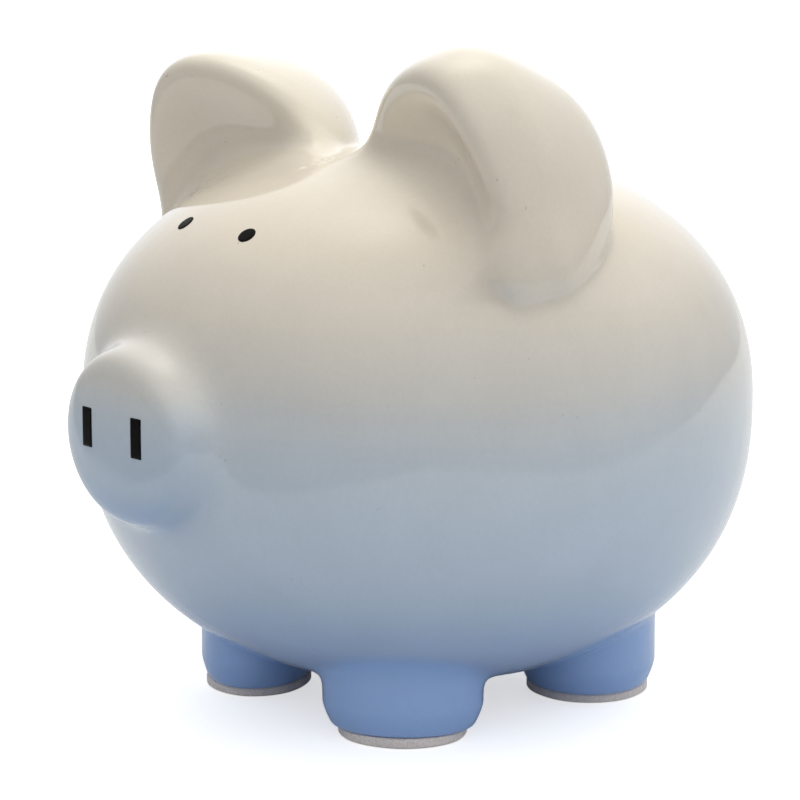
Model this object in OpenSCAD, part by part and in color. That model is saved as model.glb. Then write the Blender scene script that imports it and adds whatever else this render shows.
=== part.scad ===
// Round glazed piggy bank.
// A hollow cast ball of a body with hollow snout, ears and feet luted on, a small curled tail,
// fired-on eyes and nostrils, stick-on foot pads and a pull-out rubber stopper in the belly.
// Millimetres. +Z is up, the floor is z = 0, the pig faces -Y and its own left side is +X.

/* [Body] */
// Largest radius of the round body
body_r = 89; // [86:0.5:92]
// Height of the body's widest ring above the floor
body_mid = 80; // [79:0.5:81]
// Height of the body above its widest ring
body_up = 67; // [65:0.5:69]
// Depth of the full round below the widest ring, before the belly is flattened
body_down = 73.5; // [72.5:0.5:74.5]
// Fullness of the round: 2 is an ellipse, more is squarer
fullness = 2.29; // [2.2:0.01:2.4]
// Height of the flat belly above the floor
belly_z = 10.5; // [10:0.1:11]
// Thickness of the cast wall
wall = 5; // [4:0.5:6]
// Thickness of the floor of the coin chamber
belly_wall = 6; // [5.5:0.5:7]

/* [Coin slot] */
// Width of the coin slot
slot_w = 5; // [4.6:0.1:6]
// Length of the coin slot
slot_l = 38; // [34:0.5:44]
// Distance of the slot's middle behind the body's axis
slot_y = 38; // [34:0.5:42]

/* [Belly stopper] */
// Radius of the hole in the belly
hole_r = 15; // [13:0.5:16]
// Radius of the stopper's flange
flange_r = 19.4; // [18:0.1:20]
// Gap between the stopper and the hole
stopper_gap = 0.05; // [0.02:0.01:0.1]
// Depth of the seat the flange lies in
seat_deep = 2.2; // [1.6:0.1:2.6]
// Height of the stopper's skirt above its flange
skirt_h = 8.3; // [6:0.1:8.5]

/* [Snout] */
// Half height of the snout disc
snout_r = 21.3; // [19:0.1:22.5]
// How much wider than high the snout is
snout_wide = 1.19; // [1:0.01:1.25]
// Distance of the snout's face in front of the body's axis
snout_y = 97.2; // [95:0.1:100]
// Height of the snout's middle
snout_z = 79.6; // [78:0.1:82]

/* [Ears] */
// Radius of the ear's open front
ear_r = 36; // [34:0.5:37]
// Depth of the ear from its open front to its back
ear_deep = 41.5; // [39:0.5:43]
// Depth of the scoop in the ear's front
scoop_deep = 10; // [9:0.5:15]

/* [Feet] */
// Sideways distance of each foot from the middle
foot_x = 30.9; // [30:0.1:34]
// Distance of the front feet in front of the body's axis
foot_front = 30.8; // [30:0.1:36]
// Distance of the rear feet behind the body's axis
foot_rear = 34.3; // [30:0.1:38]
// Radius of a foot
foot_r = 18.6; // [17:0.1:19]
// Thickness of a stick-on pad
pad_h = 2.6; // [2:0.1:3]
// Radius of a stick-on pad
pad_r = 15.9; // [12:0.1:15.9]

/* [Part to show] */
// Name of the piece to draw, or all

/* [Hidden] */
glaze = [0.93, 0.93, 0.90];
pale_blue = [0.62, 0.72, 0.90];
black = [0.03, 0.03, 0.03];
skin = 0.3;                       // thickness of a fired-on mark
seat_z = belly_z + seat_deep;     // underside of the lip the stopper bears on
chamber_z = belly_z + belly_wall; // floor of the coin chamber
ear_at = [44.8, -27.8, 136.0];    // middle of the left ear's open front
ear_lean = 18.4;                  // the ear's back points this far above level
ear_out = 11.7;                   // and this far out from straight back
tail_y = snout_y;                 // the tail reaches as far back as the snout does forward

// ---- outline of the round body --------------------------------------------------------

// Angle on the round where it meets the level z, for a round grown by g
function round_angle(z, g) = asin(pow((body_mid - z) / (body_down + g), fullness / 2));

// Point on the round at the angle t, for a round grown by g: [distance from the axis, height]
function round_point(t, g) = [
    (body_r + g) * pow(abs(cos(t)), 2 / fullness),
    body_mid + (t < 0 ? -(body_down + g) : body_up + g) * pow(abs(sin(t)), 2 / fullness)];

// Height of the upper body at the distance r from the axis
function top_z(r) = body_mid + body_up * pow(1 - pow(r / body_r, fullness), 1 / fullness);

// A solid round grown by g with its underside cut flat at the level z0
module round_solid(g, z0, steps = 26, sides = 64) {
    t0 = -round_angle(z0, g);
    rotate_extrude($fn = sides)
        polygon(concat([[0, z0]],
            [for (i = [0:steps - 1]) round_point(t0 + (90 - t0) * i / steps, g)],
            [[0, body_mid + body_up + g]]));
}

module body_outside() { round_solid(0, belly_z); }

// Puts its children on the upper body at (x, y), their Z axis square to the surface
module on_body(x, y) {
    r = norm([x, y]);
    z = top_z(r);
    nr = pow(r / body_r, fullness - 1) / body_r;
    nz = pow((z - body_mid) / body_up, fullness - 1) / body_up;
    translate([x, y, z]) rotate([0, atan2(nr, nz), atan2(y, x)]) children();
}

// ---- body ------------------------------------------------------------------------------

module slot_cut() {
    straight = slot_l - slot_w;
    translate([-slot_w / 2, slot_y - straight / 2, body_mid + 20]) cube([slot_w, straight, 60]);
    for (s = [-1, 1])
        translate([0, slot_y + s * straight / 2, body_mid + 20])
            cylinder(r = slot_w / 2, h = 60, $fn = 32);
}

// Small holes that let the steam out of each hollow luted piece during firing
module vents() {
    translate([0, -body_r + 8, snout_z]) rotate([90, 0, 0]) cylinder(r = 2, h = 12, $fn = 16);
    for (s = [-1, 1]) {
        translate([s * 49, -3, 126]) cylinder(r = 2, h = 15.5, $fn = 16);
        for (y = [-foot_front, foot_rear])
            translate([s * foot_x, y, belly_z - 1]) cylinder(r = 2, h = 15, $fn = 16);
    }
}

module body_shell() {
    color(glaze) difference() {
        body_outside();
        round_solid(-wall, chamber_z, 22, 56);
        slot_cut();
        translate([0, 0, belly_z - 1]) cylinder(r = 20, h = seat_deep + 1, $fn = 64);
        translate([0, 0, belly_z]) cylinder(r = hole_r, h = belly_wall + 1, $fn = 64);
        vents();
    }
}

// ---- snout -----------------------------------------------------------------------------

// Outside of the snout: a shallow dome, a soft rim, and a flare that runs into the body.
// Each point is [distance from the snout's own axis, distance behind its face].
rim = 7;
snout_outline = concat(
    [[0, 0], [snout_r * 0.4, 0.15]],
    [for (i = [0:7]) let (a = i * 90 / 7)
        [snout_r - rim * (1 - sin(a)), 0.4 + rim * (1 - cos(a))]],
    [for (h = [9, 10.5, 12, 13.5, 15]) [snout_r + 0.1 * (h - 7) + 0.09 * pow(h - 8, 2), h]],
    [[snout_r, 30], [0, 30]]);

// Places its children, drawn along Z, as an oval lying along the snout's axis
module snout_place() {
    translate([0, -snout_y, snout_z]) scale([snout_wide, 1, 1]) rotate([-90, 0, 0]) children();
}

module snout_outside() {
    snout_place() rotate_extrude($fn = 72) polygon(snout_outline);
}

module snout() {
    color(glaze) difference() {
        snout_outside();
        translate([0, 6 - snout_y, snout_z]) rotate([-90, 0, 0])
            cylinder(r = snout_r / 2, h = 40, $fn = 48);
        body_outside();
    }
}

// ---- ears ------------------------------------------------------------------------------

ear_rim = 5;               // width of the rounded rim round the scoop
scoop_r = ear_r - 2 * ear_rim;
ear_wall = 4.5;
cavity_r = scoop_r - 2;

// Section of a solid ear: the scoop, the rounded rim and the domed back
ear_outline = concat(
    [for (i = [0:6]) let (a = 90 - i * 80 / 6)
        [scoop_r * cos(a), ear_rim + (scoop_deep - ear_rim) * sin(a)]],
    [for (a = [30:30:150]) [ear_r - ear_rim - ear_rim * cos(a), ear_rim * (1 - sin(a))]],
    [for (i = [0:9]) let (a = 8 + i * 82 / 9) [ear_r * cos(a), ear_deep * sin(a)]]);

// Section of the hollow between the scoop and the back
ear_hollow = concat(
    [for (i = [0:5]) let (r = cavity_r * i / 5)
        [r, ear_wall + scoop_deep * sqrt(1 - pow(r / (scoop_r + ear_wall), 2))]],
    [for (i = [5:-1:0]) let (r = cavity_r * i / 5)
        [r, (ear_deep - ear_wall) * sqrt(1 - pow(r / (ear_r - ear_wall), 2))]]);

module ear() {
    difference() {
        translate(ear_at) rotate([ear_lean - 90, 0, -ear_out]) difference() {
            rotate_extrude($fn = 48) polygon(ear_outline);
            rotate_extrude($fn = 32) polygon(ear_hollow);
        }
        body_outside();
    }
}

module ear_left() { color(glaze) ear(); }
module ear_right() { color(glaze) mirror([1, 0, 0]) ear(); }

// ---- feet and pads ---------------------------------------------------------------------

foot_wall = 4.3;
foot_outline = concat(
    [[0, pad_h]],
    [for (i = [0:5]) let (a = i * 18)
        [foot_r - 2.6 * (1 - sin(a)), pad_h + 6 * (1 - cos(a))]],
    [[foot_r, 32], [0, 32]]);

module foot(x, y) {
    color(pale_blue) difference() {
        translate([x, y, 0]) rotate_extrude($fn = 40) polygon(foot_outline);
        translate([x, y, pad_h + foot_wall]) cylinder(r = foot_r - foot_wall, h = 40, $fn = 32);
        body_outside();
    }
}

module pad(x, y) {
    color([0.93, 0.88, 0.86]) translate([x, y, 0]) cylinder(r = pad_r, h = pad_h, $fn = 48);
}

module foot_front_left() { foot(foot_x, -foot_front); }
module foot_front_right() { foot(-foot_x, -foot_front); }
module foot_rear_left() { foot(foot_x, foot_rear); }
module foot_rear_right() { foot(-foot_x, foot_rear); }
module pad_front_left() { pad(foot_x, -foot_front); }
module pad_front_right() { pad(-foot_x, -foot_front); }
module pad_rear_left() { pad(foot_x, foot_rear); }
module pad_rear_right() { pad(-foot_x, foot_rear); }

// ---- tail ------------------------------------------------------------------------------

module tail() {
    thick = 3;
    curl = 5.5;
    color(glaze) difference() {
        translate([0, tail_y - thick, 90]) {
            rotate([90, 0, 0]) rotate_extrude(angle = 290, $fn = 32)
                translate([curl, 0]) circle(r = thick, $fn = 20);
            translate([curl, 0, 0]) sphere(r = thick, $fn = 20);
            translate([curl, 0, 0]) rotate([90, 0, 0]) cylinder(r = thick, h = 14, $fn = 20);
            rotate([0, -290, 0]) translate([curl, 0, 0]) sphere(r = thick, $fn = 20);
        }
        body_outside();
    }
}

// ---- fired-on marks --------------------------------------------------------------------

module eye(s) {
    color(black) difference() {
        intersection() {
            on_body(s * 13.3, -65) translate([0, 0, -2]) cylinder(r = 2.35, h = 4, $fn = 32);
            round_solid(skin, belly_z);
        }
        body_outside();
    }
}

module nostril(s) {
    color(black) difference() {
        intersection() {
            translate([s * 10.7 - 2.1, -snout_y - 2, 81.4 - 4.9]) cube([4.2, 4, 9.8]);
            translate([0, -skin, 0]) snout_outside();
        }
        snout_outside();
    }
}

module eye_left() { eye(1); }
module eye_right() { eye(-1); }
module nostril_left() { nostril(1); }
module nostril_right() { nostril(-1); }

// ---- belly stopper ---------------------------------------------------------------------

// One rubber moulding: a flange with a finger bar across a shallow dish, and a hollow skirt.
module belly_stopper() {
    low = belly_z - 0.1;
    skirt_r = hole_r - stopper_gap;
    color([0.75, 0.75, 0.73]) {
        difference() {
            union() {
                translate([0, 0, low]) cylinder(r = flange_r, h = seat_z - low, $fn = 64);
                translate([0, 0, low]) cylinder(r = skirt_r, h = seat_z - low + skirt_h, $fn = 64);
            }
            translate([0, 0, seat_z]) cylinder(r = skirt_r - 2.2, h = skirt_h + 1, $fn = 48);
            translate([0, 0, low - 1]) difference() {
                cylinder(r = 11.5, h = 2.2, $fn = 48);
                translate([-2.2, -14, -1]) cube([4.4, 28, 6]);
            }
        }
    }
}

// ---- drawing ---------------------------------------------------------------------------

body_shell();
snout();
ear_left();
ear_right();
foot_front_left();
foot_front_right();
foot_rear_left();
foot_rear_right();
pad_front_left();
pad_front_right();
pad_rear_left();
pad_rear_right();
tail();
eye_left();
eye_right();
nostril_left();
nostril_right();
belly_stopper();
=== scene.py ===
"""Looks of the round glazed piggy bank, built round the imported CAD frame.

The shapes are worked out in millimetres as distance fields: a point's value is how far it is
outside the shape, and negative inside. Their zero surfaces are meshed, moved on to the exact
surface, and cut into the real pieces where each was luted to the body.
Frame: +Z up, the floor at z = 0, the pig faces -Y and its left side is +X.
"""

import math

import bpy
import numpy as np
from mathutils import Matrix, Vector


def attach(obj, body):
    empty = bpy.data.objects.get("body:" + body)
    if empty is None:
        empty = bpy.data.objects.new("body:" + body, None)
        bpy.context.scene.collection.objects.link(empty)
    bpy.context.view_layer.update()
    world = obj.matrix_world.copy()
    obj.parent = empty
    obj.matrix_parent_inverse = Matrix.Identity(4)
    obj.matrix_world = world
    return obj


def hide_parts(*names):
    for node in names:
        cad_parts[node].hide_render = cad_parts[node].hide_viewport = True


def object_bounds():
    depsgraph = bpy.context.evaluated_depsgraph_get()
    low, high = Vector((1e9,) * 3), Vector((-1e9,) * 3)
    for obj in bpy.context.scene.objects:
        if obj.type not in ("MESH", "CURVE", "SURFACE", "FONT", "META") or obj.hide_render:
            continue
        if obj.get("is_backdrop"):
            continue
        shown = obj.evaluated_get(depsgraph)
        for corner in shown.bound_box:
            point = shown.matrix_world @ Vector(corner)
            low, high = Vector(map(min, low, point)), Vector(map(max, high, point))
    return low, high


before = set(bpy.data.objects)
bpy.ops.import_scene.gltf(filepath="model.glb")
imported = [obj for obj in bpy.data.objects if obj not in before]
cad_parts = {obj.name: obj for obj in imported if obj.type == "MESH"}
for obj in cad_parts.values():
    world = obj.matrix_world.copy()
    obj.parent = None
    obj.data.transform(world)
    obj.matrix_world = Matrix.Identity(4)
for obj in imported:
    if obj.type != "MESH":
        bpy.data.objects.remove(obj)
cad_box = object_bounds()
MM = 0.001

# ---------------------------------------------------------------------------------------
# Distance fields, in millimetres
# ---------------------------------------------------------------------------------------

BODY_R = 89.0        # widest radius of the ball
BODY_MID = 80.0      # height of its widest ring
BODY_UP = 67.0       # from there to the top
BODY_DOWN = 73.5     # from there to the bottom of the full round
FULLNESS = 2.286     # 2 is an ellipse, more is squarer
WALL = 5.0           # thickness of the cast wall
BELLY_Z = 10.5       # flat belly
CHAMBER_Z = 16.5     # floor of the coin chamber
SNOUT_Z = 79.6       # height of the snout's middle
SNOUT_R = 21.5       # half its height
SNOUT_WIDE = 1.19    # how much wider than high it is
SNOUT_FACE = 97.3    # its face, in front of the body's axis
SLOT_Y = 38          # the coin slot's middle, behind the axis
SLOT_HALF = 2.5      # half the slot's width
HOLE_R = 15          # the belly hole
SEAT_R, SEAT_Z = 20, 12.7    # the seat round it
FEET = {"front": (-30.8, 15.4, 14.3), "rear": (34.3, 18.4, 16.4)}   # y, reach outwards, pad's reach
FOOT_X = 30.9        # sideways distance of each foot from the middle
FOOT_WIDE = 20.6     # half width across the outward direction
PAD_WIDE = 16.5      # the same of a pad
PAD_H = 2.6          # thickness of a pad
TAIL_Z = 90.0        # height of the tail's curl


def soft_min(a, b, k):
    """Union of two fields with a fillet about k wide."""
    h = np.maximum(k - np.abs(a - b), 0) / k
    return np.minimum(a, b) - h ** 3 * k / 6


def soft_max(a, b, k):
    """Intersection of two fields with an edge rounded about k wide."""
    return -soft_min(-a, -b, k)


def smooth(t):
    """Rises softly from 0 to 1 as t does."""
    t = np.clip(t, 0, 1)
    return t * t * (3 - 2 * t)


def round_field(p, shrink=0.0):
    """The ball of the body, made smaller by shrink."""
    z = p[:, 2] - BODY_MID
    wide = BODY_R - shrink
    tall = np.where(z >= 0, BODY_UP, BODY_DOWN) - shrink
    u = np.hypot(p[:, 0], p[:, 1]) / wide
    w = np.abs(z) / tall
    s = u ** FULLNESS + w ** FULLNESS + 1e-12
    g = s ** (1 / FULLNESS)
    slope = s ** (1 / FULLNESS - 1)
    grad = np.hypot(u ** (FULLNESS - 1) * slope / wide, w ** (FULLNESS - 1) * slope / tall)
    return (g - 1) / (grad + 1e-9)


def body_field(p):
    """The outside of the body, with its flat belly."""
    return soft_max(round_field(p), BELLY_Z - p[:, 2], 8.0)


def snout_field(p):
    """A short oval stub with a slightly domed face, a little wider at its root."""
    x, z = p[:, 0], p[:, 2] - SNOUT_Z
    behind = p[:, 1] + SNOUT_FACE
    side = np.hypot(x / SNOUT_WIDE, z) - SNOUT_R - 0.1 * np.clip(behind, 0, 12)
    face = -behind + 0.0015 * (x * x + z * z)
    return np.maximum(soft_max(side, face, 11.0), behind - 40)


def turned(axis, degrees):
    """The matrix that turns about an axis."""
    a = math.radians(degrees)
    i, j = [(1, 2), (2, 0), (0, 1)][axis]
    m = np.eye(3)
    m[i, i] = m[j, j] = math.cos(a)
    m[i, j] = -math.sin(a)
    m[j, i] = math.sin(a)
    return m


# The left ear in its own axes: across the ear, up the ear, and back through it.
EAR_AT = np.array([43.3, -42.8, 131.7])
EAR_ROLL = math.radians(34.5)        # how far the ear's top tips outwards
EAR_AXES = (turned(2, -12.2) @ turned(0, 19.4) @ np.array([
    [math.cos(EAR_ROLL), 0, -math.sin(EAR_ROLL)],
    [math.sin(EAR_ROLL), 0, math.cos(EAR_ROLL)],
    [0, 1, 0]]).T).T
EAR_FRONT = 14.2     # the open front, along the third axis
EAR_WIDE, EAR_TALL, EAR_DEEP = 38.1, 36.3, 57.1
SCOOP = 6.0          # how deep the open front is hollowed


def ear_field(p):
    """Both ears, and how wide the fillet to the head is at each point.

    The two were luted on by hand: the left one's lobe flares and bends forward, and its crown is fuller.
    """
    q = p.copy()
    q[:, 0] = np.abs(q[:, 0])
    u, v, w = ((q - EAR_AT) @ EAR_AXES.T).T
    left = p[:, 0] > 0
    low = smooth((16 - v) / 14) * left
    inner = 0.04 * smooth(-u / 15) - 0.07 * smooth((26 - v) / 24) * smooth((u + 10) / 25)
    flare = np.where(left, 0.05 * smooth((w - 16) / 10) * low * smooth(u / 20), inner)
    wide = EAR_WIDE * np.clip(1 - 0.33 * v / 40, 0.5, 1.6) * (1 + flare)
    tall, deep = EAR_TALL, EAR_DEEP
    a = u + 0.16 * v
    b = w + 0.7 * (16 - w + np.sqrt((16 - w) ** 2 + 9))
    n3 = np.sqrt((a / wide) ** 2 + (v / tall) ** 2 + (b / deep) ** 2)
    g3 = np.sqrt((a / wide ** 2) ** 2 + (v / tall ** 2) ** 2 + (b / deep ** 2) ** 2)
    dome = (n3 - 1) * n3 / np.maximum(g3, 1e-6)
    crown = np.exp(-((w - 31) / 10) ** 2) * smooth((v - 5) / 20)
    dome = dome - np.where(left, 2.6, -0.9) * crown
    n2 = np.sqrt((a / wide) ** 2 + (v / tall) ** 2)
    g2 = np.sqrt((a / wide ** 2) ** 2 + (v / tall ** 2) ** 2)
    inwards = np.where(n2 < 0.05, 30.0, (1 - n2) * n2 / np.maximum(g2, 1e-6))
    bowl = 0.5 - 0.5 * np.cos(np.pi * np.clip((inwards - 3) / 24, 0, 1))
    bowl = bowl * (0.15 + 0.85 * smooth((v + 5 + 0.0065 * (u - 12) ** 2) / 28))
    rim = EAR_FRONT - 7 * smooth((u - 8) / 26) * low
    front = (rim - 0.8 + SCOOP * bowl - w) * 0.8
    behind = smooth((dome - front + 1) / 12)
    lobe = smooth((u - 25) / 9) * low
    return soft_max(dome, front, 12.0), 17 + (3 - 17) * np.maximum(behind, lobe)


def foot_place(x, y, foot_y):
    """Distances from a foot's middle, outwards from the pig and across."""
    dx, dy = np.abs(x) - FOOT_X, (y - foot_y) * np.sign(foot_y)
    return (dx + dy) / math.sqrt(2), (dx - dy) / math.sqrt(2)


def feet_field(p):
    """The four feet: oval stubs, drawn in where they meet the pads."""
    best = None
    for foot_y, reach, _ in FEET.values():
        out, across = foot_place(p[:, 0], p[:, 1], foot_y)
        r = FOOT_WIDE * np.hypot(out / reach, across / FOOT_WIDE)
        z = p[:, 2] - PAD_H
        side = (r - FOOT_WIDE + 2.4 * np.clip((6.4 - z) / 6.4, 0, 1) ** 1.5) * 0.9
        one = np.maximum(soft_max(side, -z, 1.6), z - 32)
        best = one if best is None else np.minimum(best, one)
    return best


def tail_path(n=44):
    """A small curl: out of the body, then round in a shrinking ring. Rows are x, y, z, radius."""
    t = np.linspace(0, 1, n)
    turn = np.radians(-35 + 335 * t)
    ring = 5.6 - 2.2 * t
    out = smooth(t / 0.3)
    return np.stack([ring * np.cos(turn), 84 + 9.6 * out, TAIL_Z + ring * np.sin(turn), 3.4 - 1.4 * t], 1)


TAIL = tail_path()


def tail_field(p):
    """The curl, worked out exactly only near it."""
    far = np.linalg.norm(p - np.array([0, 92.0, TAIL_Z]), axis=1) - 13
    near = far < 9
    d = far + 3.0
    q = p[near]
    best = np.full(len(q), 1e3)
    for a, b in zip(TAIL[:-1], TAIL[1:]):
        ab = b[:3] - a[:3]
        h = np.clip(((q - a[:3]) @ ab) / (ab @ ab), 0, 1)
        gap = np.linalg.norm(q - a[:3] - h[:, None] * ab, axis=1)
        best = np.minimum(best, gap - (a[3] + h * (b[3] - a[3])))
    d[near] = best
    return d


def outside_field(p):
    """The whole glazed outside: body, snout, ears, feet and tail, run together."""
    d = soft_min(body_field(p), snout_field(p), 9.0)
    ears, fillet = ear_field(p)
    d = soft_min(d, ears, fillet)
    d = soft_min(d, feet_field(p), 5.0)
    return soft_min(d, tail_field(p), 3.5)


def cut_field(p):
    """Everything cut out of the body: the coin chamber, the slot, the belly hole and its seat."""
    x, y, z = p.T
    r = np.hypot(x, y)
    chamber = soft_max(round_field(p, WALL), CHAMBER_Z - z, 6.0)
    slot = np.maximum(np.hypot(x, np.maximum(np.abs(y - SLOT_Y) - 16.5, 0)) - SLOT_HALF, 100 - z)
    seat = np.maximum(r - SEAT_R, z - SEAT_Z)
    hole = np.maximum(r - HOLE_R, z - 30)
    return np.minimum(np.minimum(chamber, slot), np.minimum(seat, hole))


def shell_field(p):
    """The ceramic itself: the outside less what is cut out of it."""
    return soft_max(outside_field(p), -cut_field(p), 2.0)


def stopper_field(p):
    """Rubber bung: flange with a finger bar over a shallow dish and a grooved ring, and a hollow skirt."""
    x, y, z = p.T
    r = np.hypot(x, y)
    flange = soft_max(r - 19.3, np.abs(z - 11.55) - 1.15, 1.6)
    skirt = soft_max(r - 14.9 + 0.25 * np.clip(z - 18, 0, 4), np.abs(z - 16.0) - 5.0, 1.2)
    d = soft_min(flange, skirt, 0.8)
    bore = np.maximum(r - 12.7, 13.4 - z)
    bar = np.maximum(np.abs(x) - 2.2, np.abs(y) - 14)
    dish = np.maximum(np.maximum(r - 11.5, z - 11.6), -bar)
    ring = np.maximum(np.abs(r - 16.2) - 0.5, z - 10.8)
    return soft_max(d, -np.minimum(np.minimum(bore, dish), ring), 0.9)


# ---------------------------------------------------------------------------------------
# Meshing
# ---------------------------------------------------------------------------------------

def slope(field, p, step=0.04):
    """The field's gradient at the points p."""
    g = np.empty_like(p)
    for i in range(3):
        e = np.zeros(3)
        e[i] = step
        g[:, i] = (field(p + e) - field(p - e)) / (2 * step)
    return g


def settle(field, p, rounds=3):
    """Moves points on to the field's zero surface."""
    for _ in range(rounds):
        g = slope(field, p)
        move = field(p) / np.maximum((g * g).sum(1), 0.05)
        p = p - np.clip(move, -1.5, 1.5)[:, None] * g
    return p


def net(field, low, high, step):
    """Surface net of the field's zero surface: vertices and triangles, facing outwards."""
    axes = [np.arange(a, b + step, step) for a, b in zip(low, high)]
    shape = tuple(len(a) for a in axes)
    value = np.empty(shape)
    yz = np.stack(np.meshgrid(axes[1], axes[2], indexing="ij"), -1).reshape(-1, 2)
    for i, x in enumerate(axes[0]):
        points = np.concatenate([np.full((len(yz), 1), x), yz], 1)
        value[i] = field(points).reshape(shape[1:])
    inside = value < 0
    cells = tuple(s - 1 for s in shape)
    place = np.zeros(cells + (3,))
    count = np.zeros(cells)
    for axis in range(3):
        others = [i for i in range(3) if i != axis]
        for b in (0, 1):
            for c in (0, 1):
                start = [slice(0, n) for n in cells]
                start[others[0]] = slice(b, cells[others[0]] + b)
                start[others[1]] = slice(c, cells[others[1]] + c)
                end = list(start)
                end[axis] = slice(1, cells[axis] + 1)
                v0, v1 = value[tuple(start)], value[tuple(end)]
                cross = inside[tuple(start)] != inside[tuple(end)]
                t = np.where(cross, v0 / np.where(cross, v0 - v1, 1), 0)
                place[..., axis] += t
                place[..., others[0]] += b * cross
                place[..., others[1]] += c * cross
                count += cross
    used = count > 0
    number = np.full(cells, -1)
    number[used] = np.arange(used.sum())
    where = np.argwhere(used)
    verts = (where + place[used] / count[used][:, None]) * step + np.array(low)
    quads = []
    for axis in range(3):
        u, w = [(1, 2), (2, 0), (0, 1)][axis]
        lo = [slice(1, n) for n in cells]
        lo[axis] = slice(0, cells[axis])
        hi = list(lo)
        hi[axis] = slice(1, cells[axis] + 1)
        a, b = inside[tuple(lo)], inside[tuple(hi)]
        at = np.argwhere(a != b)
        outward = a[tuple(at.T)]
        at = at + np.array([0 if i == axis else 1 for i in range(3)])
        ring = []
        for du, dw in ((-1, -1), (0, -1), (0, 0), (-1, 0)):
            cell = at.copy()
            cell[:, u] += du
            cell[:, w] += dw
            ring.append(number[tuple(cell.T)])
        ring = np.stack(ring, 1)
        ring[~outward] = ring[~outward][:, ::-1]
        quads.append(ring)
    quads = np.concatenate(quads)
    a, b, c, d = (verts[quads[:, i]] for i in range(4))
    short = ((a - c) ** 2).sum(1) <= ((b - d) ** 2).sum(1)
    first = np.where(short[:, None], quads[:, [0, 1, 2]], quads[:, [0, 1, 3]])
    second = np.where(short[:, None], quads[:, [0, 2, 3]], quads[:, [1, 2, 3]])
    return verts, np.concatenate([first, second])


def relax(field, verts, tris, rounds):
    """Evens the triangles out along the surface."""
    ends = np.concatenate([tris[:, [0, 1]], tris[:, [1, 2]], tris[:, [2, 0]]])
    for _ in range(rounds):
        total = np.zeros_like(verts)
        for i in range(3):
            total[:, i] = np.bincount(ends[:, 0], verts[ends[:, 1], i], len(verts))
        count = np.bincount(ends[:, 0], minlength=len(verts))
        verts = verts + 0.6 * (total / np.maximum(count, 1)[:, None] - verts)
        verts = settle(field, verts, 2)
    return verts


def edge_numbers(tris, n):
    """The mesh's edges, and each triangle's three edge numbers (01, 12, 20)."""
    a = tris[:, [0, 1, 2]].ravel()
    b = tris[:, [1, 2, 0]].ravel()
    key = np.minimum(a, b).astype(np.int64) * n + np.maximum(a, b)
    keys, index = np.unique(key, return_inverse=True)
    return np.stack([keys // n, keys % n], 1), index.reshape(-1, 3)


def split(tris, numbers, middle):
    """Splits triangles at the edges that have a middle vertex (-1 where there is none)."""
    m = middle[numbers]
    has = m >= 0
    count = has.sum(1)
    out = [tris[count == 0]]
    for turn in range(3):
        v = np.roll(tris, -turn, 1)
        e = np.roll(m, -turn, 1)
        h = np.roll(has, -turn, 1)
        one = (count == 1) & h[:, 0]
        out.append(np.stack([v[one, 0], e[one, 0], v[one, 2]], 1))
        out.append(np.stack([e[one, 0], v[one, 1], v[one, 2]], 1))
        two = (count == 2) & ~h[:, 1]
        out.append(np.stack([v[two, 0], e[two, 0], e[two, 2]], 1))
        out.append(np.stack([e[two, 0], v[two, 1], e[two, 2]], 1))
        out.append(np.stack([v[two, 1], v[two, 2], e[two, 2]], 1))
        three = (count == 3) if turn == 0 else np.zeros(len(tris), bool)
        out.append(np.stack([v[three, 0], e[three, 0], e[three, 2]], 1))
        out.append(np.stack([e[three, 0], v[three, 1], e[three, 1]], 1))
        out.append(np.stack([e[three, 2], e[three, 1], v[three, 2]], 1))
        out.append(np.stack([e[three, 0], e[three, 1], e[three, 2]], 1))
    return np.concatenate(out)


def refine(field, verts, tris, tolerance, rounds, shortest):
    """Halves the edges whose middle lies off the surface."""
    for _ in range(rounds):
        edges, numbers = edge_numbers(tris, len(verts))
        mid = verts[edges].mean(1)
        length = np.linalg.norm(verts[edges[:, 0]] - verts[edges[:, 1]], axis=1)
        off = (np.abs(field(mid)) > tolerance) & (length > shortest)
        if not off.any():
            break
        middle = np.full(len(edges), -1)
        middle[off] = len(verts) + np.arange(off.sum())
        tris = split(tris, numbers, middle)
        verts = np.concatenate([verts, settle(field, mid[off], 4)])
    return verts, tris


def surface(field, low, high, step, shortest):
    """An even, refined mesh of the field's zero surface inside a box."""
    verts, tris = net(field, low, high, step)
    verts = relax(field, settle(field, verts), tris, 3)
    return refine(field, verts, tris, 0.02, 2, shortest)


def unit_normals(field, verts):
    """Directions out of the field's surface."""
    g = slope(field, verts)
    return g / np.maximum(np.linalg.norm(g, axis=1), 1e-9)[:, None]


def seam_cut(field, seam, verts, tris):
    """Cuts the triangles along the line where seam is zero, and returns each vertex's side."""
    s = seam(verts)
    edges, _ = edge_numbers(tris, len(verts))
    a, b = s[edges[:, 0]], s[edges[:, 1]]
    crossing = a * b < 0
    t = a / np.where(crossing, a - b, 1)
    snap = np.zeros(len(verts), bool)
    snap[edges[crossing & (t < 0.3), 0]] = True
    snap[edges[crossing & (t > 0.7), 1]] = True
    verts = verts.copy()
    verts[snap] = to_seam(field, seam, verts[snap])
    s = seam(verts)
    s[snap] = 0
    edges, numbers = edge_numbers(tris, len(verts))
    a, b = s[edges[:, 0]], s[edges[:, 1]]
    crossing = a * b < 0
    t = (a / np.where(crossing, a - b, 1))[crossing][:, None]
    new = verts[edges[crossing, 0]] * (1 - t) + verts[edges[crossing, 1]] * t
    middle = np.full(len(edges), -1)
    middle[crossing] = len(verts) + np.arange(crossing.sum())
    tris = split(tris, numbers, middle)
    verts = np.concatenate([verts, to_seam(field, seam, new)])
    s = np.concatenate([s, np.zeros(len(new))])
    return verts, tris, s


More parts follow.
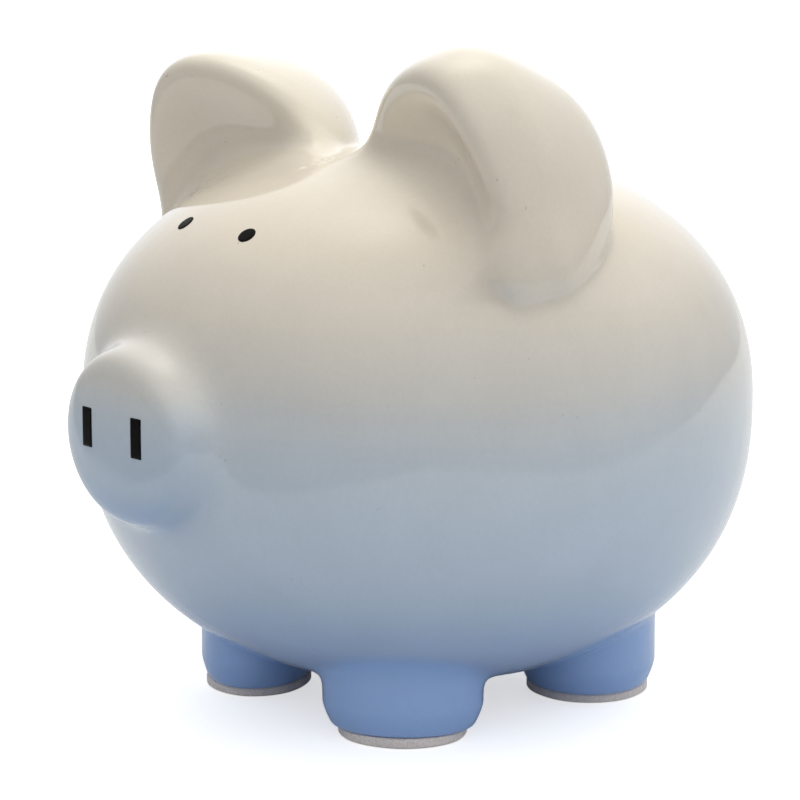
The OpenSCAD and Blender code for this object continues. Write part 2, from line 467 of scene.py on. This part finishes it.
def to_seam(field, seam, p):
    """Moves points on to the line where both fields are zero."""
    for _ in range(6):
        for f in (seam, field):
            g = slope(f, p)
            move = f(p) / np.maximum((g * g).sum(1), 0.05)
            p = p - np.clip(move, -0.6, 0.6)[:, None] * g
    return p


def loops(tris):
    """The open borders of a patch of triangles, as closed runs of vertices."""
    ends = np.concatenate([tris[:, [0, 1]], tris[:, [1, 2]], tris[:, [2, 0]]])
    there = {(int(a), int(b)) for a, b in ends}
    after = {a: b for a, b in there if (b, a) not in there}
    runs = []
    while after:
        a, b = after.popitem()
        run = [a]
        while b != a:
            run.append(b)
            b = after.pop(b)
        runs.append(run)
    return runs


def cap(field, verts, run, rings=6):
    """Closes a border with rings that lie on the field's zero surface. Returns new points, tris."""
    ring = verts[run]
    centre = ring.mean(0)
    n = len(run)
    points = [centre + (ring - centre) * (1 - i / rings) for i in range(1, rings)]
    points.append(centre[None])
    points = settle(field, np.concatenate(points), 4)
    base = len(verts)
    ids = [np.array(run)] + [base + i * n + np.arange(n) for i in range(rings - 1)]
    tris = []
    for a, b in zip(ids[:-1], ids[1:]):
        a1, b1 = np.roll(a, -1), np.roll(b, -1)
        tris += [np.stack([a1, a, b], 1), np.stack([a1, b, b1], 1)]
    a = ids[-1]
    tris.append(np.stack([np.roll(a, -1), a, np.full(n, base + (rings - 1) * n)], 1))
    return points, np.concatenate(tris)


def parts_of(tris, n):
    """A number for each vertex: vertices joined by triangles share one."""
    label = np.arange(n)
    while True:
        low = label[tris].min(1)
        new = label.copy()
        for i in range(3):
            np.minimum.at(new, tris[:, i], low)
        new = new[new]
        if (new == label).all():
            return label
        label = new


def make_piece(name, verts, tris, normals, material, body, nodes):
    """A mesh object in metres from points in millimetres. It stands for the CAD nodes named."""
    used, tris = np.unique(tris, return_inverse=True)
    tris = tris.reshape(-1, 3)
    mesh = bpy.data.meshes.new(name)
    mesh.vertices.add(len(used))
    mesh.vertices.foreach_set("co", (verts[used] * MM).ravel())
    mesh.loops.add(len(tris) * 3)
    mesh.loops.foreach_set("vertex_index", tris.ravel())
    mesh.polygons.add(len(tris))
    mesh.polygons.foreach_set("loop_start", np.arange(0, len(tris) * 3, 3))
    mesh.polygons.foreach_set("use_smooth", np.ones(len(tris), bool))
    mesh.update(calc_edges=True)
    mesh.validate()
    if normals is not None:
        mesh.normals_split_custom_set_from_vertices(normals[used].tolist())
    mesh.materials.append(material)
    o = bpy.data.objects.new(name, mesh)
    bpy.context.scene.collection.objects.link(o)
    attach(o, body)
    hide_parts(*nodes)
    return o


# ---------------------------------------------------------------------------------------
# Materials
# ---------------------------------------------------------------------------------------

class Nodes:
    """A material's node tree, with short calls for making and joining nodes."""

    def __init__(self, name):
        self.material = bpy.data.materials.new(name)
        self.material.use_nodes = True
        self.tree = self.material.node_tree
        self.shader = self.tree.nodes["Principled BSDF"]
        self.place = self.add("ShaderNodeTexCoord").outputs["Object"]

    def add(self, kind, inputs=(), **settings):
        n = self.tree.nodes.new(kind)
        for key, value in settings.items():
            setattr(n, key, value)
        for key, value in dict(inputs).items():
            self.join(value, n.inputs[key])
        return n

    def join(self, value, socket):
        if isinstance(value, bpy.types.NodeSocket):
            self.tree.links.new(value, socket)
        else:
            socket.default_value = value

    def math(self, operation, a, b=0.0):
        return self.add("ShaderNodeMath", {0: a, 1: b}, operation=operation).outputs[0]

    def noise(self, scale, detail=2.0, rough=0.5):
        n = self.add("ShaderNodeTexNoise", {"Vector": self.place, "Scale": scale,
                                            "Detail": detail, "Roughness": rough})
        return n.outputs["Fac"]

    def ramp(self, value, stops, ease="EASE"):
        n = self.add("ShaderNodeValToRGB", {"Fac": value})
        n.color_ramp.interpolation = ease
        marks = n.color_ramp.elements
        while len(marks) < len(stops):
            marks.new(0.5)
        for mark, (at, _) in zip(marks, stops):
            mark.position = at
        for mark, (_, colour) in zip(marks, stops):
            mark.color = (*colour, 1) if len(colour) == 3 else colour
        return n.outputs["Color"]

    def mix(self, amount, a, b, blend="MIX"):
        n = self.add("ShaderNodeMix", data_type="RGBA", blend_type=blend)
        self.join(amount, n.inputs["Factor"])
        self.join(a, n.inputs["A"])
        self.join(b, n.inputs["B"])
        return [o for o in n.outputs if o.type == "RGBA"][0]

    def bump(self, height, depth, normal=None):
        n = self.add("ShaderNodeBump", {"Height": height, "Distance": depth, "Strength": 1.0})
        if normal is not None:
            self.join(normal, n.inputs["Normal"])
        return n.outputs["Normal"]

    def range(self, value, low, high, to_low=0.0, to_high=1.0):
        n = self.add("ShaderNodeMapRange", {"Value": value, "From Min": low, "From Max": high,
                                            "To Min": to_low, "To Max": to_high})
        return n.outputs["Result"]

    def finish(self, colour, roughness, normal, **constants):
        self.join(colour, self.shader.inputs["Base Color"])
        self.join(roughness, self.shader.inputs["Roughness"])
        self.join(normal, self.shader.inputs["Normal"])
        for key, value in constants.items():
            self.shader.inputs[key.replace("_", " ")].default_value = value
        return self.material


# Colour of the glaze by height in millimetres: sprayed blue from below, cream white above, and darker
# lower down as painted shade.
GLAZE_BLUE_AND_SHADE = [
    (0, (0.27, 0.39, 0.65)),
    (22, (0.30, 0.42, 0.66)),
    (32, (0.35, 0.47, 0.67)),
    (42, (0.42, 0.53, 0.68)),
    (52, (0.48, 0.57, 0.71)),
    (66, (0.51, 0.60, 0.72)),
    (78, (0.56, 0.63, 0.71)),
    (86, (0.62, 0.66, 0.70)),
    (95, (0.69, 0.68, 0.66)),
    (110, (0.75, 0.70, 0.63)),
    (130, (0.85, 0.77, 0.66)),
    (175, (0.87, 0.81, 0.70)),
]
FOOT_BLUE = (0.31, 0.48, 0.83)


def glaze():
    """Clear gloss over a white body that was airbrushed blue from below; its colour is also painted darker
    lower down and on down-facing surfaces, as shade.
    """
    m = Nodes("glaze_blue_and_painted_shade")
    split = m.add("ShaderNodeSeparateXYZ", {"Vector": m.place}).outputs
    drift = m.range(m.noise(22, 3), 0, 1, -0.003, 0.003)
    height = m.math("ADD", split["Z"], drift)
    # Surfaces that face down more than the ball does there, such as the undersides of the ear lobes, count
    # as lower, which paints shade on them; the snout low down counts as lower too.
    facing = m.add("ShaderNodeTexCoord").outputs["Normal"]
    down = m.math("MULTIPLY", m.add("ShaderNodeSeparateXYZ", {"Vector": facing}).outputs["Z"], -1.0)
    under = m.math("SUBTRACT", down, m.range(split["Z"], 0.0065, 0.080, 1, 0))
    under = m.range(under, 0.0, 1.0, 0.0, 0.048)
    nose = m.math("MULTIPLY", m.range(split["Y"], -0.086, -0.094), m.range(split["Z"], 0.092, 0.062))
    height = m.math("SUBTRACT", height, m.math("MAXIMUM", under, m.math("MULTIPLY", nose, 0.034)))
    # The height ramp gives the real blue spray and also painted shade, darker towards the bottom.
    top = GLAZE_BLUE_AND_SHADE[-1][0]
    colour = m.ramp(m.range(height, 0, top * MM), [(z / top, c) for z, c in GLAZE_BLUE_AND_SHADE], "LINEAR")
    # The feet are bluest, in an oval round each.
    mid = (FEET["front"][0] + FEET["rear"][0]) / 2 * MM
    half = FEET["rear"][0] * MM - mid
    x = m.math("SUBTRACT", m.math("ABSOLUTE", split["X"]), FOOT_X * MM)
    y = m.math("SUBTRACT", m.math("ABSOLUTE", m.math("SUBTRACT", split["Y"], mid)), half)
    out = m.math("MULTIPLY", m.math("ADD", x, y), 0.707 / 0.017)
    across = m.math("MULTIPLY", m.math("SUBTRACT", x, y), 0.707 / (FOOT_WIDE * MM))
    squares = m.math("ADD", m.math("MULTIPLY", out, out), m.math("MULTIPLY", across, across))
    edge = m.math("ADD", m.math("SQRT", squares), m.math("MULTIPLY", drift, 12.0))
    dipped = m.math("MULTIPLY", m.range(edge, 1.36, 1.00), m.range(split["Z"], 0.042, 0.026))
    colour = m.mix(dipped, colour, (*FOOT_BLUE, 1))
    # Faint mottling, a fine grain and a few brown pinholes.
    mottle = m.range(m.noise(60, 4, 0.6), 0.3, 0.7, 0.975, 1.02)
    grain = m.range(m.noise(900, 2, 0.6), 0.3, 0.7, 0.985, 1.015)
    shade = m.math("MULTIPLY", mottle, grain)
    tone = m.add("ShaderNodeCombineColor", {"Red": shade, "Green": shade, "Blue": shade}).outputs[0]
    colour = m.mix(1.0, colour, tone, "MULTIPLY")
    cells = m.add("ShaderNodeTexVoronoi", {"Vector": m.place, "Scale": 330.0}).outputs["Distance"]
    few = m.math("GREATER_THAN", m.noise(75, 1), 0.66)
    pin = m.math("MULTIPLY", m.range(cells, 0.07, 0.12, 1, 0), few)
    colour = m.mix(m.math("MULTIPLY", pin, 0.35), colour, (0.42, 0.36, 0.28, 1))
    roughness = m.range(m.noise(45, 3), 0.3, 0.7, 0.05, 0.10)
    flow = m.bump(m.noise(26, 1, 0.4), 0.0007)
    peel = m.bump(m.noise(260, 2, 0.5), 0.000012, flow)
    normal = m.bump(m.math("SUBTRACT", 1.0, pin), 0.00004, peel)
    return m.finish(colour, roughness, normal, IOR=1.5, Coat_Weight=0.35, Coat_Roughness=0.02)


def mark():
    """Fired-on black enamel."""
    m = Nodes("black_enamel")
    colour = m.ramp(m.noise(700, 3), [(0.3, (0.002, 0.002, 0.002)), (0.7, (0.006, 0.006, 0.006))])
    roughness = m.range(m.noise(300, 3), 0.3, 0.7, 0.30, 0.45)
    return m.finish(colour, roughness, m.bump(m.noise(500, 2), 0.00002), IOR=1.12)


def felt():
    """Pale pressed pads under the feet."""
    m = Nodes("pad_felt")
    fibre = m.noise(1500, 5, 0.7)
    blotch = m.noise(140, 3, 0.6)
    pale = [(0.30, (0.68, 0.61, 0.59)), (0.55, (0.86, 0.79, 0.77)), (0.75, (0.93, 0.88, 0.86))]
    colour = m.ramp(fibre, pale)
    colour = m.mix(m.range(blotch, 0.45, 0.75, 0, 0.35), colour, (0.50, 0.52, 0.58, 1))
    normal = m.bump(m.noise(420, 3), 0.0004, m.bump(fibre, 0.00018))
    return m.finish(colour, m.range(fibre, 0.3, 0.7, 0.95, 0.8), normal, IOR=1.45, Sheen_Weight=0.3)


def rubber():
    """Soft pale grey stopper, with a moulded matt finish."""
    m = Nodes("stopper_rubber")
    cloud = m.noise(90, 3)
    colour = m.ramp(cloud, [(0.3, (0.47, 0.47, 0.45)), (0.7, (0.56, 0.56, 0.54))])
    dust = m.range(m.noise(1300, 2), 0.62, 0.72, 0, 0.25)
    colour = m.mix(dust, colour, (0.70, 0.69, 0.66, 1))
    roughness = m.range(m.noise(200, 3), 0.3, 0.7, 0.42, 0.6)
    return m.finish(colour, roughness, m.bump(m.noise(800, 3), 0.00003), IOR=1.45)


GLAZE, BLACK, FELT, RUBBER = glaze(), mark(), felt(), rubber()

# ---------------------------------------------------------------------------------------
# The glazed skin, meshed in one and cut where the parts were luted on
# ---------------------------------------------------------------------------------------

LUTED = 2.5          # the seams lie this far outside the body


def seam_field(p):
    """Zero where the luted parts are cut from the body."""
    return body_field(p) - LUTED


def part_name(c):
    """The luted part that a place belongs to."""
    side = "left" if c[0] > 0 else "right"
    if c[2] > 100:
        return "ear_" + side
    if c[2] < 48:
        return ("foot_front_" if c[1] < 0 else "foot_rear_") + side
    return "snout" if c[1] < 0 else "tail"


skin, faces = surface(shell_field, (-93, -103, -1), (93, 101, 175), 2.0, 0.5)
skin, faces, side = seam_cut(shell_field, seam_field, skin, faces)
middles = skin[faces].mean(1)
outer = np.where((side[faces] == 0).all(1), seam_field(middles) > 0, side[faces].sum(1) > 0)
label = parts_of(faces[outer], len(skin))
groups = {}
for number in np.unique(label[faces[outer]]):
    mine = faces[outer][label[faces[outer][:, 0]] == number]
    groups.setdefault(part_name(skin[mine].reshape(-1, 3).mean(0)), []).append(mine)

shell = [faces[~outer]]
pieces = {}
for name, patches in groups.items():
    patch = np.concatenate(patches)
    closed = [patch]
    for run in loops(patch):
        extra, lid = cap(seam_field, skin, run)
        skin = np.concatenate([skin, extra])
        closed.append(lid)
        shell.append(lid[:, ::-1])
    pieces[name] = np.concatenate(closed)
normals = unit_normals(shell_field, skin)

make_piece("bank_body", skin, np.concatenate(shell), normals, GLAZE, "bank", ["body_shell"])
for name, tris in pieces.items():
    make_piece("bank_" + name, skin, tris, normals, GLAZE, "bank", [name])

# ---------------------------------------------------------------------------------------
# Enamel marks, foot pads and the stopper
# ---------------------------------------------------------------------------------------


def lay(field, place, out, heights):
    """Puts a grid of points on to the field's surface along a direction, lifted by heights."""
    n = out / np.linalg.norm(out)
    p = place.copy()
    for _ in range(8):
        g = slope(field, p)
        along = g @ n
        p = p - ((field(p) - heights) / np.maximum(along, 0.2))[:, None] * n
    return p


def enamel(name, outline, centre, right, up, nodes, thick=0.22, rings=8):
    """A thin crowned patch on the skin, with the outline's points given across and up."""
    right, up = np.array(right, float), np.array(up, float)
    right /= np.linalg.norm(right)
    up -= right * (up @ right)
    up /= np.linalg.norm(up)
    out = np.cross(right, up)
    n = len(outline)
    flat = np.array(outline)
    rows, lift = [], []
    for i in range(rings + 1):
        s = 1 - i / (rings + 1)
        rows.append(flat * s)
        lift.append(np.full(n, thick * (1 - s ** 10 * 0.45)))
    inner = np.concatenate(rows + [np.zeros((1, 2))])
    lift = np.concatenate(lift + [[thick]])
    grid = np.array(centre, float) + inner[:, :1] * right + inner[:, 1:] * up
    top = lay(outside_field, grid, out, lift)
    foot = lay(outside_field, grid[:n], out, np.full(n, -0.15))
    verts = np.concatenate([foot, top])
    tris = []
    for i in range(rings + 1):
        a = i * n + np.arange(n)
        b = a + n
        a1, b1 = np.roll(a, -1), np.roll(b, -1)
        tris += [np.stack([a, a1, b1], 1), np.stack([a, b1, b], 1)]
    a = (rings + 1) * n + np.arange(n)
    tris.append(np.stack([a, np.roll(a, -1), np.full(n, (rings + 2) * n)], 1))
    under = len(verts)
    verts = np.concatenate([verts, lay(outside_field, grid[-1:], out, np.array([-0.15]))])
    a = np.arange(n)
    tris.append(np.stack([np.roll(a, -1), a, np.full(n, under)], 1))
    make_piece(name, verts, np.concatenate(tris), None, BLACK, "bank", nodes)


def bar_outline(wide, tall, corner, steps=6):
    """A rectangle with slightly rounded corners and points along its sides."""
    points = []
    for k in range(4):
        sx, sy = [(1, 1), (-1, 1), (-1, -1), (1, -1)][k]
        for i in range(steps):
            a = math.pi / 2 * (k + i / (steps - 1))
            points.append((sx * (wide / 2 - corner) + corner * math.cos(a),
                           sy * (tall / 2 - corner) + corner * math.sin(a)))
        nx, ny = [(-1, 1), (-1, -1), (1, -1), (1, 1)][k]
        start = points[-1]
        end_c = (nx * (wide / 2 - corner), ny * (tall / 2 - corner))
        a = math.pi / 2 * (k + 1)
        end = (end_c[0] + corner * math.cos(a), end_c[1] + corner * math.sin(a))
        points += [(start[0] + (end[0] - start[0]) * j / 6, start[1] + (end[1] - start[1]) * j / 6)
                   for j in range(1, 6)]
    return points


def disc_outline(radius, count=48):
    """Points round a circle."""
    return [(radius * math.cos(2 * math.pi * i / count), radius * math.sin(2 * math.pi * i / count))
            for i in range(count)]


# The marks are painted by hand, so the two eyes are not quite level. They are laid down on to the skin.
EYES = {"left": (13.5, -65.7, 128.0), "right": (-14.2, -64.5, 128.0)}
EYE_R = 2.35
NOSTRIL = (4.2, 9.8, 0.3)            # width, height and corner
NOSTRIL_AT = (10.7, -97.0, 81.4)

for sign, word in ((1, "left"), (-1, "right")):
    eye_at = lay(outside_field, np.array([EYES[word]]), np.array([0, 0, 1.0]), np.zeros(1))[0]
    n = slope(outside_field, eye_at[None])[0]
    across = np.cross([0, 0, 1.0], n)
    enamel("enamel_eye_" + word, disc_outline(EYE_R), eye_at, across, np.cross(n, across), ["eye_" + word])
    nostril_at = (NOSTRIL_AT[0] * sign, NOSTRIL_AT[1], NOSTRIL_AT[2])
    enamel("enamel_nostril_" + word, bar_outline(*NOSTRIL), nostril_at, (1, 0, 0), (0, 0, 1),
           ["nostril_" + word])


def pad(name, side, foot_y, reach, node):
    """A soft disc with a rounded, slightly uneven rim."""
    quarter = np.linspace(0, math.pi / 2, 6)
    profile = [(r, 0.05) for r in (0.0, 0.25, 0.5, 0.75)]
    profile += [(0.95 + 0.05 * math.sin(a), 0.72 - 0.67 * math.cos(a)) for a in quarter]
    profile += [(0.96 + 0.04 * math.cos(a), 1.95 + 0.6 * math.sin(a)) for a in quarter]
    profile += [(r, PAD_H - 0.02) for r in (0.75, 0.5, 0.25, 0)]
    count = 72
    row = 1 if foot_y > 0 else -1
    verts, tris = [], []
    for r, z in profile:
        for i in range(count):
            a = 2 * math.pi * i / count
            wave = r * (1 + 0.008 * math.sin(3 * a + foot_y) + 0.005 * math.sin(7 * a + side))
            out, across = reach * wave * math.cos(a), PAD_WIDE * wave * math.sin(a)
            verts.append((side * (FOOT_X + (out + across) * math.sqrt(0.5)),
                          foot_y + row * (out - across) * math.sqrt(0.5), z))
    for k in range(len(profile) - 1):
        for i in range(count):
            a, b = k * count + i, k * count + (i + 1) % count
            if profile[k][0] > 0:
                tris.append((a, b, b + count))
            if profile[k + 1][0] > 0:
                tris.append((a, b + count, a + count))
    tris = np.array(tris)
    if side * row > 0:
        tris = tris[:, ::-1]
    make_piece(name, np.array(verts, float), tris, None, FELT, "bank", [node])


for row, (foot_y, _, reach) in FEET.items():
    for sign, word in ((1, "left"), (-1, "right")):
        pad("soft_pad_%s_%s" % (row, word), sign, foot_y, reach, "pad_%s_%s" % (row, word))

bung, bung_faces = surface(stopper_field, (-21, -21, 9), (21, 21, 23), 0.8, 0.3)
make_piece("rubber_stopper", bung, bung_faces, unit_normals(stopper_field, bung), RUBBER,
           "stopper", ["belly_stopper"])

# ---------------------------------------------------------------------------------------
# Floor, light and camera
# ---------------------------------------------------------------------------------------


def make_floor():
    """A plain white table, seen pale by the camera, and darker in reflections where it ends."""
    mesh = bpy.data.meshes.new("floor")
    n, half = 8, 3.0
    row = n + 1
    verts = [(half * (2 * i / n - 1), half * (2 * j / n - 1), 0) for i in range(row) for j in range(row)]
    quads = [(i * row + j, (i + 1) * row + j, (i + 1) * row + j + 1, i * row + j + 1)
             for i in range(n) for j in range(n)]
    mesh.from_pydata(verts, [], quads)
    m = Nodes("floor_white")
    split = m.add("ShaderNodeSeparateXYZ", {"Vector": m.place}).outputs
    front = m.range(split["Y"], -0.255, -0.285)
    end = m.range(split["X"], 0.36, 0.40)
    tint = m.mix(m.math("MAXIMUM", front, end), (0.80, 0.82, 0.85, 1), (0.26, 0.27, 0.29, 1))
    tint = m.mix(m.range(m.noise(3, 2), 0.3, 0.7, 0, 0.1), tint, (0.5, 0.52, 0.55, 1))
    seen = m.add("ShaderNodeLightPath").outputs["Is Camera Ray"]
    colour = m.mix(seen, tint, (0.82, 0.83, 0.84, 1))
    m.shader.inputs["Emission Color"].default_value = (1, 1, 1, 1)
    m.join(m.math("MULTIPLY", seen, 0.6), m.shader.inputs["Emission Strength"])
    mesh.materials.append(m.finish(colour, 0.7, m.bump(m.noise(300, 2), 0.00002)))
    o = bpy.data.objects.new("floor", mesh)
    bpy.context.scene.collection.objects.link(o)
    o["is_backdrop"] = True


# Where the soft studio light comes from, how strong it is there, and how narrow.
BACK, RIGHT, UP = Vector((-0.765, 0.644, 0)), Vector((0.644, 0.765, 0)), Vector((0, 0, 1))
GLOW = [
    (BACK, 0.80, 8),
    (RIGHT, 0.20, 8),
    (UP + BACK, 0.95, 8),
    (UP + RIGHT, 0.90, 8),
    (UP - RIGHT, 0.60, 8),
    (UP - BACK, 0.95, 8),
    (UP + 0.3 * BACK, 1.50, 40),
]


def make_world():
    """A white studio: bright behind and above, dimmer towards the camera."""
    world = bpy.data.worlds.new("studio")
    bpy.context.scene.world = world
    world.use_nodes = True
    tree = world.node_tree
    tree.nodes.clear()

    def add(kind, **inputs):
        n = tree.nodes.new(kind)
        for key, value in inputs.items():
            n.inputs[key].default_value = value
        return n

    place = add("ShaderNodeTexCoord").outputs["Generated"]

    def math_node(operation, a, b):
        n = add("ShaderNodeMath")
        n.operation = operation
        for i, value in enumerate((a, b)):
            if isinstance(value, float):
                n.inputs[i].default_value = value
            else:
                tree.links.new(value, n.inputs[i])
        return n.outputs[0]

    total = None
    for toward, strength, narrow in GLOW:
        dot = add("ShaderNodeVectorMath")
        dot.operation = "DOT_PRODUCT"
        tree.links.new(place, dot.inputs[0])
        dot.inputs[1].default_value = Vector(toward).normalized()
        half = math_node("ADD", math_node("MULTIPLY", dot.outputs["Value"], 0.5), 0.5)
        lobe = math_node("MULTIPLY", math_node("POWER", half, float(narrow)), strength)
        total = lobe if total is None else math_node("ADD", total, lobe)
    height = add("ShaderNodeSeparateXYZ")
    tree.links.new(place, height.inputs[0])
    ramp = add("ShaderNodeValToRGB")
    ramp.color_ramp.elements[0].color = (0.98, 1.0, 1.03, 1)
    ramp.color_ramp.elements[1].color = (1.03, 1.0, 0.92, 1)
    tree.links.new(height.outputs["Z"], ramp.inputs["Fac"])
    light = add("ShaderNodeBackground")
    tree.links.new(ramp.outputs["Color"], light.inputs["Color"])
    tree.links.new(total, light.inputs["Strength"])
    plain = add("ShaderNodeBackground", Color=(1, 1, 1, 1), Strength=1.05)
    seen = add("ShaderNodeLightPath")
    mix = add("ShaderNodeMixShader")
    tree.links.new(seen.outputs["Is Camera Ray"], mix.inputs[0])
    tree.links.new(light.outputs[0], mix.inputs[1])
    tree.links.new(plain.outputs[0], mix.inputs[2])
    tree.links.new(mix.outputs[0], add("ShaderNodeOutputWorld").inputs["Surface"])


def make_camera():
    """A long lens from the pig's front left, a little above its middle."""
    data = bpy.data.cameras.new("camera")
    data.sensor_width = 36
    data.lens = 108.97
    data.clip_start, data.clip_end = 0.05, 20
    o = bpy.data.objects.new("camera", data)
    o.location = Vector((488.95, -412.27, 188.43)) * MM
    heading, down = 0.877563, 0.169765       # radians, from +Y towards -X, and below level
    level = math.cos(down)
    gaze = Vector((-math.sin(heading) * level, math.cos(heading) * level, -math.sin(down)))
    o.rotation_euler = gaze.to_track_quat("-Z", "Y").to_euler()
    bpy.context.scene.collection.objects.link(o)
    bpy.context.scene.camera = o


make_floor()
make_world()
make_camera()
bpy.context.scene.view_settings.view_transform = "Standard"

boxes = {"cad": cad_box, "visual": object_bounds()}
boxes = {key: [[float(v) for v in corner] for corner in box] for key, box in boxes.items()}
